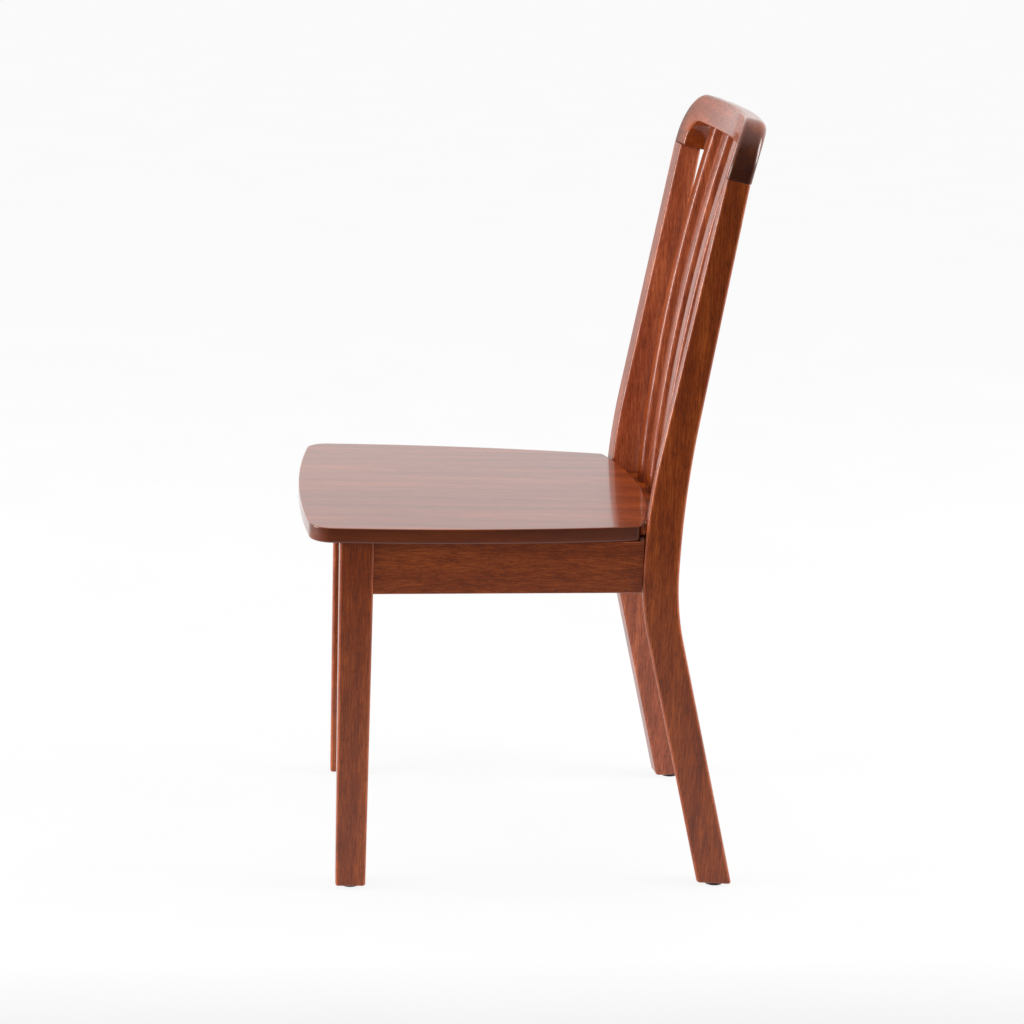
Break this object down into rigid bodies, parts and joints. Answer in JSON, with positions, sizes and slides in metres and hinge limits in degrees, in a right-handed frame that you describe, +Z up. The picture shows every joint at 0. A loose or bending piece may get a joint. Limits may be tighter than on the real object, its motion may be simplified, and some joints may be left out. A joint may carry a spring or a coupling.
{
  "type": "dining chair",
  "caption": "Wooden slat-back dining chair with a solid wood seat, curved rear legs that carry on up as the back posts, and a bowed crest rail.",
  "frame": {"origin": "on the floor, under the centre of the bounding box, so the chair stands on Z = 0", "axes": "+Z is up; the sitter faces -Y, so the seat's front edge is at -Y and the back is at +Y; +X is the sitter's left"},
  "size_m": [0.418, 0.5365, 0.9258],
  "materials": {
    "frame_wood": "red-brown stain under a clear satin lacquer, fine open pores along the grain",
    "seat_wood": "red-brown stain under a smooth, glossy clear lacquer",
    "bare_wood": "unfinished hardwood",
    "steel": "plain zinc-plated steel",
    "glide": "black moulded plastic, matt"
  },
  "bodies": {
    "root": {"seat_panel": "seat_wood", "front_leg_left": "frame_wood", "front_leg_right": "frame_wood", "rear_leg_left": "frame_wood", "rear_leg_right": "frame_wood", "front_apron": "frame_wood", "side_apron_left": "frame_wood", "side_apron_right": "frame_wood", "rear_apron": "frame_wood", "crest_rail": "frame_wood", "slat_1": "frame_wood", "slat_2": "frame_wood", "slat_3": "frame_wood", "slat_4": "frame_wood", "slat_5": "frame_wood", "corner_block_front_left": "frame_wood", "corner_block_front_right": "frame_wood", "corner_block_rear_left": "frame_wood", "corner_block_rear_right": "frame_wood", "apron_dowels": "bare_wood", "crest_dowels": "bare_wood", "corner_block_screws": "steel", "seat_screws": "steel", "foot_glide_front_left": "glide", "foot_glide_front_right": "glide", "foot_glide_rear_left": "glide", "foot_glide_rear_right": "glide", "glide_nails": "steel"}
  },
  "joints": []
}
